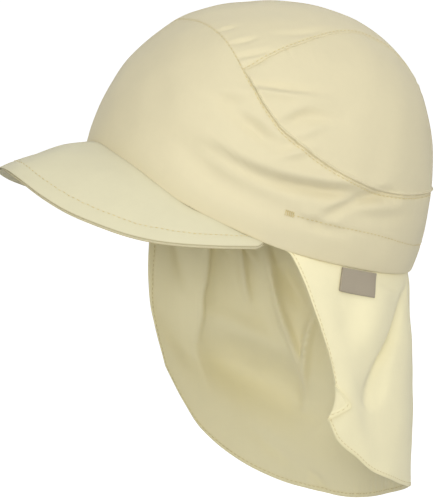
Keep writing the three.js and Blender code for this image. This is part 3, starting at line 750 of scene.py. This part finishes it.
peak = {
    "heading": 62.5, "halfWidth": 66.0, "root": 33.0, "reach": 106.0,
    "sewnIn": 0.4, "aboveRim": 0.3,  # where the root lies in the crown's wall
    "tip": 55.0, "endLip": 1.4, "arch": 2.5, "roll": 0.25, "parting": 0.33, "partingReach": 1.6,
    "unevenness": 0.22, "swell": 0.25, "ripple": 0.1,
    "cover": 0.75, "gap": 0.12,  # each cover and the seam between them
    "stitchAt": 9.0, "grooveDepth": 0.16, "columns": 240, "rows": 84,
}
peakRows = [
    (-1, 0), (-0.83, 0.12), (-0.67, 0.32), (-0.56, 0.49), (-0.44, 0.65), (-0.33, 0.79),
    (-0.22, 0.905), (-0.11, 0.985), (0, 0.99), (0.11, 0.89), (0.22, 0.72), (0.33, 0.54),
    (0.44, 0.385), (0.56, 0.225), (0.67, 0.125), (0.83, 0.05), (1, 0),
]


def peakPoints(heading, across):
    heading, across = np.broadcast_arrays(heading, across)
    along = heading / peak["heading"]
    rim = crownAt(heading, rimHeight(heading))
    away = crownOut(rim)
    away[..., 2] = 0
    root = rim - unit(away) * peak["sewnIn"]
    root[..., 2] = rim[..., 2] + peak["aboveRim"]
    turn = np.radians(90 * along)
    ends = rimHeight(peak["heading"])
    edge = np.stack([
        (peak["halfWidth"] + peak["endLip"] * np.abs(np.sin(turn))) * np.sin(turn),
        -(peak["root"] + peak["reach"] * np.cos(turn)),
        ends - peak["endLip"] * np.abs(along) ** 3 + (peak["tip"] - ends) * readTable(peakRows, along),
    ], axis=-1)
    runOut = 1 - 0.93 * smoothstep(np.abs(along), 0.955, 1) ** 1.5
    points = root + (edge - root) * (across * runOut)[..., None]
    points[..., 2] += peak["arch"] * np.sin(math.pi * across**0.85) * np.cos(turn)
    return points


def makePeak():
    headings = np.linspace(-peak["heading"], peak["heading"], peak["columns"])[None, :]
    across = (1 - (1 - spread(peak["rows"], 0.5)) ** 1.6)[:, None]
    base = peakPoints(headings, across)
    fromRoot, along = arcLength(base, 0), arcLength(base, 1)
    toEdge = fromRoot[-1:] - fromRoot
    inward = np.clip((peak["roll"] - toEdge) / peak["roll"], 0, 1)
    roll = peak["roll"] * (1 - np.sqrt(np.clip(1 - inward**2, 0, 1)))
    opening = peak["parting"] * np.clip((peak["partingReach"] - toEdge) / peak["partingReach"], 0, 1) ** 2
    uneven = peak["unevenness"] * softNoise(base, 22.0, 51) * smoothstep(toEdge, 0, 8)
    stitched = smoothstep(fromRoot, 0.5, 3.0)
    groove = peak["grooveDepth"] * bump(toEdge, peak["stitchAt"], 0.6) * stitched
    swell = peak["swell"] * bump(toEdge, peak["stitchAt"] / 2, peak["stitchAt"] / 3)
    ripple = peak["ripple"] * wobble(along, 6.0, 52) * np.exp(-np.abs(toEdge - peak["stitchAt"]) / 3)
    up = np.array([0, 0, 1.0])
    top = base + up * (uneven - roll - groove + swell + ripple - 0.12 * bump(fromRoot, 0, 0.4))[..., None]
    middle = base - up * (peak["cover"] - opening)[..., None]
    under = base - up * (peak["cover"] + peak["gap"] + opening)[..., None]
    bottom = base - up * (2 * peak["cover"] + peak["gap"] - roll - 0.6 * groove)[..., None]
    # painted shade: a dark edge standing in for the shadowed under cover, and a line along the root where the
    # peak meets the crown
    seam = np.exp(-toEdge / 0.25) + 0.95 * np.exp(-fromRoot / 1.0) + 0.1 * bump(toEdge, peak["stitchAt"], 0.5)
    seam = np.clip(seam, 0, 1)
    uv = np.stack([base[..., 0], fromRoot - 40], axis=-1)
    makePiece("peakUpper", [clothPart(top, middle, uv, seam)], peakCotton, "peak_upper")
    makePiece("peakUnder", [clothPart(under, bottom, uv, seam)], peakCotton, "peak_under")
    lines = []
    for grid, lift in ((top, 0.08), (bottom, -0.08)):
        line = pointsAt(grid + up * lift, fromRoot, fromRoot[-1] - peak["stitchAt"])
        lines.append(line[fromRoot[-1] > peak["stitchAt"] + 0.3])
    return lines


peakLines = makePeak()
sewStitches("peakStitches", peakLines, {**seams, "pitch": 2.7}, "peak_upper")


# the neck flap

flap = {
    "heading": 71.0, "wall": 0.7, "tuck": 4.0, "seat": 0.45, "drop": 130.0, "halfWidth": 77.0,
    "back": 71.0, "belly": 2.5, "foldScale": 10.0, "columns": 308, "rows": 138,
    "hem": 2.2, "farHem": 4.4, "hemStep": 0.35, "stitchShare": 0.84, "unevenness": 0.25, "ripple": 0.4,
    "swingOut": 7.0, "swingBack": 8.5, "farPull": 4.0, "gather": 0.4,
}
hemRows = [  # around, heading, share of the drop
    (-1, -82, 0.5), (-0.93, -89, 0.63), (-0.85, -97, 0.755), (-0.72, -110, 0.873),
    (-0.57, -124, 0.95), (-0.44, -136, 0.983), (-0.24, -157, 1), (0, -180, 0.954),
    (0.33, -211, 0.869), (0.52, -229, 0.832), (0.69, -245, 0.775), (0.79, -255, 0.728),
    (0.87, -262, 0.67), (0.96, -270, 0.6), (1, -274, 0.516),
]
flapFolds = [  # spots of around and down, then depth and reach
    ([(0.34, 0.1), (0.5, 0.305), (0.657, 0.483), (0.77, 0.66)], -0.53, 0.03),
    ([(0.32, 0.08), (0.54, 0.38), (0.8, 0.7)], -0.2, 0.08),
    ([(0.52, 0.05), (0.88, 0.55)], 0.26, 0.08),
    ([(0.56, 0.05), (0.42, 0.075)], -0.16, 0.022),
    ([(0.1, 0), (0.06, 1.1)], -0.38, 0.06),
    ([(-0.2, 0), (-0.16, 1.1)], 0.25, 0.08),
    ([(-0.36, 0.2), (-0.38, 0.4), (-0.42, 0.72)], -0.45, 0.05),
    ([(-0.56, -0.05), (-0.5, 0.28), (-0.43, 0.56)], -0.43, 0.05),
    ([(-0.65, -0.1), (-0.63, 0.3)], -0.25, 0.04),
    ([(-0.76, -0.1), (-0.81, 0.25), (-0.83, 0.6)], -0.33, 0.045),
    ([(-0.82, 0.62), (-0.68, 0.6), (-0.5, 0.63), (-0.36, 0.72)], 1.15, 0.12),
    ([(-0.8, 0.43), (-0.68, 0.42), (-0.55, 0.44), (-0.45, 0.5)], -0.4, 0.06),
    ([(-0.765, -0.05), (-0.8, 0.22), (-0.822, 0.353), (-0.823, 0.55)], -0.34, 0.014),
    ([(-0.65, -0.05), (-0.64, 0.177), (-0.625, 0.28)], -0.27, 0.014),
    ([(-0.545, -0.05), (-0.52, 0.17), (-0.49, 0.313), (-0.443, 0.447), (-0.425, 0.54)], -0.34, 0.015),
    ([(-0.36, 0.27), (-0.387, 0.373), (-0.412, 0.51), (-0.437, 0.68)], -0.38, 0.014),
    ([(-0.5, 0.1), (-0.458, 0.18), (-0.38, 0.3)], 0.38, 0.035),
    ([(-0.9, 0.1), (-0.86, 0.33)], 0.19, 0.03),
    ([(-0.42, 0.92), (-0.34, 0.985)], 0.13, 0.02),
    ([(-0.64, 0.84), (-0.46, 0.92)], 0.16, 0.04),
    ([(0.56, 0.42), (0.72, 0.66)], -0.16, 0.03),
]


flapPaths = [np.stack(smoothPath(row[0], 6 * len(row[0])), axis=-1) for row in flapFolds]


def flapTop(around, rise):
    heading = 180 - (180 - flap["heading"]) * around
    points = crownAt(heading, rimHeight(heading) + rise)
    return points - crownOut(points) * (crown["wall"] + flap["seat"])


def flapHem(around):
    height = -flap["drop"] * readTable(hemRows, around, 2)
    return planPoints(readTable(hemRows, around, 1), flap["halfWidth"], flap["back"], flap["back"], height)


def outwardNormals(grid):
    out = gridNormals(grid)
    away = grid * np.array([1, 1, 0])
    return out * np.sign(np.sum(out * away, axis=-1, keepdims=True) + 1e-9)


def flapPoints(around, down):
    around, down = np.broadcast_arrays(np.asarray(around, float), np.asarray(down, float))
    below = np.clip(down, 0, 1)
    top, hem = flapTop(around, np.clip(-down, 0, 1) * flap["tuck"]), flapHem(around)
    points = top + (hem - top) * below[..., None]
    outwards = unit(top * np.array([1, 1, 0]))
    points += outwards * (flap["belly"] * np.sin(math.pi * below))[..., None]
    swing = smoothstep(around, 0.72, 1) * below**0.4 * (1 - below**7)
    points[..., 0] += flap["swingOut"] * swing
    points[..., 1] += flap["swingBack"] * swing
    points[..., 1] -= flap["farPull"] * smoothstep(-around, 0.72, 1) * np.sin(math.pi * below)
    here = np.stack([around, down], axis=-1)
    calm = smoothstep(down, 0, 0.12)
    for path, (spots, depth, reach) in zip(flapPaths, flapFolds):
        height = foldHeight(here, path, reach)
        points += outwards * (depth * flap["foldScale"] * height * calm)[..., None]
    return points


corner = {
    "top": 0.79, "reach": 9.6, "tipAt": 0.36, "sharpness": 6.0, "lift": 1.5, "curl": 1.2, "inset": 0.2,
    "halfWall": 0.35, "stitchAt": 1.7, "rows": 40, "columns": 24,
}


def turnedCorner():
    # the left front corner, folded outwards along the line from the edge down to the hem
    along = np.linspace(0.0, 1.0, corner["rows"])
    root = flapPoints(1.0, corner["top"] + (1 - corner["top"]) * along)
    rising = along / corner["tipAt"]
    falling = (1 - along) / (1 - corner["tipAt"])
    sharp = corner["sharpness"]
    width = corner["reach"] * -np.log(np.exp(-sharp * rising) + np.exp(-sharp * falling)) / sharp
    width = np.maximum(width, 0.05)
    out = np.linspace(0, 1, corner["columns"])
    back = unit(np.array([0.04, 1.0, -0.56]))
    side = np.array([1.0, 0.0, 0.0])
    reach = width[:, None] * out[None, :]
    lift = corner["lift"] * (1 - np.exp(-reach / 0.9)) + corner["curl"] * (reach / corner["reach"]) ** 2
    grid = root[:, None] + back * reach[..., None] + side * (lift - corner["inset"])[..., None]
    normals = gridNormals(grid)
    normals *= np.sign(np.sum(normals * side, axis=-1, keepdims=True))
    toHem = np.abs(width[:, None] - reach) * 0.8
    step = flap["hemStep"] * (1 - smoothstep(toHem, 2.0, 2.6)) - 0.2 * bump(toHem, corner["stitchAt"], 0.4)
    outer = grid + normals * (corner["halfWall"] + step)[..., None]
    inner = grid - normals * corner["halfWall"]
    uv = np.stack([reach, along[:, None] * 30 + 0 * reach], axis=-1)
    # painted shade along the turned corner's hem, and a little darker over the whole corner
    seam = np.exp(-toHem / 0.6) + 0.3
    sewn = [outer[row, np.argmin(np.abs(toHem[row] - corner["stitchAt"]))] for row in range(16, 37)]
    return clothPart(outer, inner, uv, np.clip(seam, 0, 1)), np.array(sewn) + side * 0.05


def makeFlap():
    around = np.linspace(1, -1, flap["columns"])
    around = np.sign(around) * (1 - (1 - np.abs(around)) ** 1.12)
    down = np.concatenate([[-1, -0.5], 1 - (1 - spread(flap["rows"], 0.35)) ** 1.15])
    base = flapPoints(around[None, :], down[:, None])
    out = outwardNormals(base)
    fromTop, fromLeft = arcLength(base, 0), arcLength(base, 1)
    toHem, toRight = fromTop[-1:] - fromTop, fromLeft[:, -1:] - fromLeft
    edge = np.minimum(toHem, np.minimum(fromLeft, toRight))
    # the hem is wider along the top of the right front edge
    farHem = flap["hem"] + (flap["farHem"] - flap["hem"]) * (1 - smoothstep(down, 0.3, 0.8))
    inHem = np.minimum(np.minimum(toHem, fromLeft) / flap["hem"], toRight / farHem[:, None])
    below = smoothstep(down, 0, 0.1)[:, None]
    behind = bump(around, -0.08, 0.3)
    uneven = flap["unevenness"] * softNoise(base, 24.0, 61)
    ripples = flap["ripple"] * wobble(fromLeft, 5.5, 62) * np.exp(-toHem / 5) * smoothstep(edge, 0, 2)
    gathers = flap["gather"] * wobble(fromLeft, 7.0, 63) * bump(fromTop, 9.0, 9.0)
    gathers *= 1 - smoothstep(around, 0.2, 0.5)
    formed = base + out * ((uneven + ripples * (0.15 + 1.8 * behind) + gathers) * below)[..., None]
    hem = 1 - smoothstep(inHem, 0.88, 1)
    groove = bump(inHem, flap["stitchShare"], 0.14)
    roll = 0.3 * bump(edge, 0, 0.5)
    outer = formed + out * (0.16 * hem - 0.2 * groove - roll)[..., None]
    inner = formed - out * (flap["wall"] + flap["hemStep"] * hem - 0.12 * groove - roll)[..., None]
    # painted shade along the edges, the hem and its stitch groove
    seam = np.clip(np.exp(-edge / 0.8) + 0.4 * groove + 0.15 * hem, 0, 1)
    uv = np.stack([fromLeft[:1] + 0 * fromLeft, fromTop], axis=-1)
    ear, earLine = turnedCorner()
    parts = [clothPart(outer, inner, uv, seam), ear]
    piece = makePiece("neckFlap", parts, flapCotton, "neck_flap")
    lines = [earLine]
    stitchAt = flap["stitchShare"] * flap["hem"]
    for grid, lift in ((outer, 0.06), (inner, -0.06)):
        lifted = grid + out * lift
        hemLine = pointsAt(lifted, fromTop, fromTop[-1] - stitchAt)
        turned = np.swapaxes(lifted, 0, 1)
        leftLine = pointsAt(turned, fromLeft.T, stitchAt)
        rightLine = pointsAt(turned[::-1], toRight.T[::-1], flap["stitchShare"] * farHem)
        shown = np.flatnonzero((toHem[:, 0] > stitchAt) & (down > 0.02))
        inside = np.flatnonzero((fromLeft[-1] > stitchAt) & (toRight[-1] > stitchAt))
        lines += [leftLine[shown], hemLine[inside], rightLine[shown]]
    # the cut cloth without its turned-in hems: along the top edge, and from there down the back to the hem
    size = (round(float(fromLeft[0].max()) * mm, 4), round(float(fromTop[-1].max()) * mm, 4))
    cells = np.cross(base[1:, :-1] - base[:-1, :-1], base[:-1, 1:] - base[:-1, :-1])
    area = float(np.linalg.norm(cells, axis=-1).sum()) * mm * mm
    print("flap cut", size, "area", area)
    return piece, lines, size, area


neckFlap, flapLines, flapSize, flapArea = makeFlap()
hemStitches = {**seams, "pitch": 2.4, "width": 0.3}
flapStitches = sewStitches("flapStitches", flapLines, hemStitches, "neck_flap")


# woven tab and the bar tack at the start of the casing line

tab = {
    "front": 97.5, "width": 23.0, "length": 12.8, "lean": 7.0, "drop": 1.5,
    "wall": 0.42, "gap": 0.5, "layerGap": 0.06, "bow": 0.35, "ripple": 0.15, "stand": 0.3, "roll": 0.25,
    "columns": 60, "rows": 34,
}


def makeTab():
    middle = crownAt(tab["front"], rimHeight(tab["front"]))
    turn = math.degrees(tab["width"] / math.hypot(middle[0], middle[1]))
    row, column = np.linspace(0, 1, tab["rows"])[:, None], np.linspace(0, 1, tab["columns"])[None, :]
    heading = tab["front"] - turn * tab["lean"] / tab["width"] * row + turn * column
    around = (180 - heading) / (180 - flap["heading"])
    fall = np.linalg.norm(flapTop(around, 0) - flapHem(around), axis=-1)
    base = flapPoints(around, (tab["drop"] + tab["length"] * row) / fall)
    out = outwardNormals(base)
    across, down = arcLength(base, 1), arcLength(base, 0)
    edge = np.minimum(np.minimum(across, across[:, -1:] - across), down[-1:] - down)
    bow = tab["bow"] * np.sin(math.pi * row) * (1 - column)
    bow = bow + tab["ripple"] * wobble(across, 9.0, 71) + tab["stand"] * row
    roll = tab["roll"] * bump(edge, 0, 0.35)
    parts = []
    # two layers of tape, one on the other
    for layer in range(2):
        start = tab["gap"] + layer * (tab["wall"] + tab["layerGap"])
        inner = base + out * (start + bow * 0.5)[..., None]
        outer = inner + out * (tab["wall"] - roll * layer)[..., None]
        # painted shade along the tape's edges
        seam = np.clip(np.exp(-edge / 0.5), 0, 1)
        parts.append(clothPart(outer, inner, np.stack([across, down], axis=-1), seam))
    makePiece("sideTab", parts, wovenTape, "side_tab")


makeTab()


tack = {"threads": 9, "ahead": 2.6, "step": 0.4, "slant": 0.35, "half": 0.9, "lift": 0.25}


def makeBarTacks():
    # a few stitches laid close together across the start of the casing line, on both sides
    lines = []
    for side in (1, -1):
        for index in range(tack["threads"]):
            turned = crown["casingHeading"] - tack["ahead"] + tack["step"] * index
            middle = rimHeight(side * turned) + casingRows[0][1]
            slant = tack["slant"] if index % 2 else -tack["slant"]
            low = crownAt(side * (turned + slant), middle - tack["half"])
            high = crownAt(side * turned, middle + tack["half"])
            line = np.stack([low, (low + high) / 2, high])
            lines.append(line + crownOut(line) * (crownFoldDepth(line) + tack["lift"])[:, None])
    threads = {**seams, "pitch": 0.9, "length": 1.3, "width": 0.4}
    sewStitches("casingTacks", lines, threads, "crown_front_panel")


makeBarTacks()

# pale stage, soft studio light and the photograph's viewing angle

studio = {  # in metres and degrees
    "azimuth": 61.0, "elevation": 10.0, "distance": 7.0, "across": -0.0207, "up": 0.0039, "height": 0.2439,
    "floor": -0.42, "floorWidth": 120, "floorGlow": 0.6, "sky": 0.52, "below": 0.43,
}
lightRows = [  # name, azimuth, elevation, distance, size, power
    ("keyLight", 38, 56, 1.6, 0.6, 4.4),
    ("fillLight", 57, 13, 1.8, 0.45, 10.5),
    ("sideLight", 100, 14, 1.8, 0.8, 8.0),
    ("backLight", 235, 35, 1.9, 1.0, 4.0),
]


def wayTo(azimuth, elevation):
    a, e = math.radians(azimuth), math.radians(elevation)
    return Vector((math.sin(a) * math.cos(e), -math.cos(a) * math.cos(e), math.sin(e)))


def addLight(name, azimuth, elevation, distance, size, power):
    data = bpy.data.lights.new(name, "AREA")
    data.shape = "DISK"
    data.size = size
    data.energy = power
    lamp = addObject(name, data)
    away = wayTo(azimuth, elevation)
    lamp.location = away * distance
    lamp.rotation_euler = away.to_track_quat("Z", "Y").to_euler()


def addCamera():
    away = wayTo(studio["azimuth"], studio["elevation"])
    up = wayTo(studio["azimuth"] + 180, 90 - studio["elevation"])
    right = wayTo(studio["azimuth"] + 90, 0)
    data = bpy.data.cameras.new("camera")
    data.sensor_width = 36
    data.lens = data.sensor_width * studio["distance"] / studio["height"]
    data.clip_end = 100
    camera = addObject("camera", data)
    camera.location = right * studio["across"] + up * studio["up"] + away * studio["distance"]
    camera.rotation_euler = away.to_track_quat("Z", "Y").to_euler()
    bpy.context.scene.camera = camera


def addFloor():
    floorMesh = bpy.data.meshes.new("floor")
    far, low = studio["floorWidth"] / 2, studio["floor"]
    corners = [(-far, -far, low), (far, -far, low), (far, far, low), (-far, far, low)]
    floorMesh.from_pydata(corners, [], [(0, 1, 2, 3)])
    floor = addObject("floor", floorMesh)
    paint = bpy.data.materials.new("floorPaint")
    paint.use_nodes = True
    shader = paint.node_tree.nodes["Principled BSDF"]
    shader.inputs["Base Color"].default_value = (0.93, 0.93, 0.93, 1)
    shader.inputs["Roughness"].default_value = 0.9
    shader.inputs["Emission Color"].default_value = (1, 1, 1, 1)
    shader.inputs["Emission Strength"].default_value = studio["floorGlow"]
    floorMesh.materials.append(paint)
    floor.visible_diffuse = False  # a pale ground to look at, without light from below


def addWorld():
    # soft light from all round, brighter from above than from below
    world = bpy.data.worlds.new("studioLight")
    world.use_nodes = True
    nodes = world.node_tree.nodes
    place = nodes.new("ShaderNodeTexCoord")
    split = nodes.new("ShaderNodeSeparateXYZ")
    world.node_tree.links.new(place.outputs["Generated"], split.inputs[0])
    height = nodes.new("ShaderNodeMapRange")
    limits = {"From Min": -0.5, "From Max": 0.5, "To Min": studio["below"], "To Max": studio["sky"]}
    for name, value in limits.items():
        height.inputs[name].default_value = value
    world.node_tree.links.new(split.outputs["Z"], height.inputs["Value"])
    nodes["Background"].inputs["Color"].default_value = (1, 1, 1, 1)
    world.node_tree.links.new(height.outputs[0], nodes["Background"].inputs["Strength"])
    bpy.context.scene.world = world


addCamera()
addFloor()
addWorld()
for lightRow in lightRows:
    addLight(*lightRow)
bpy.context.scene.view_settings.view_transform = "Standard"
print("stage ready")
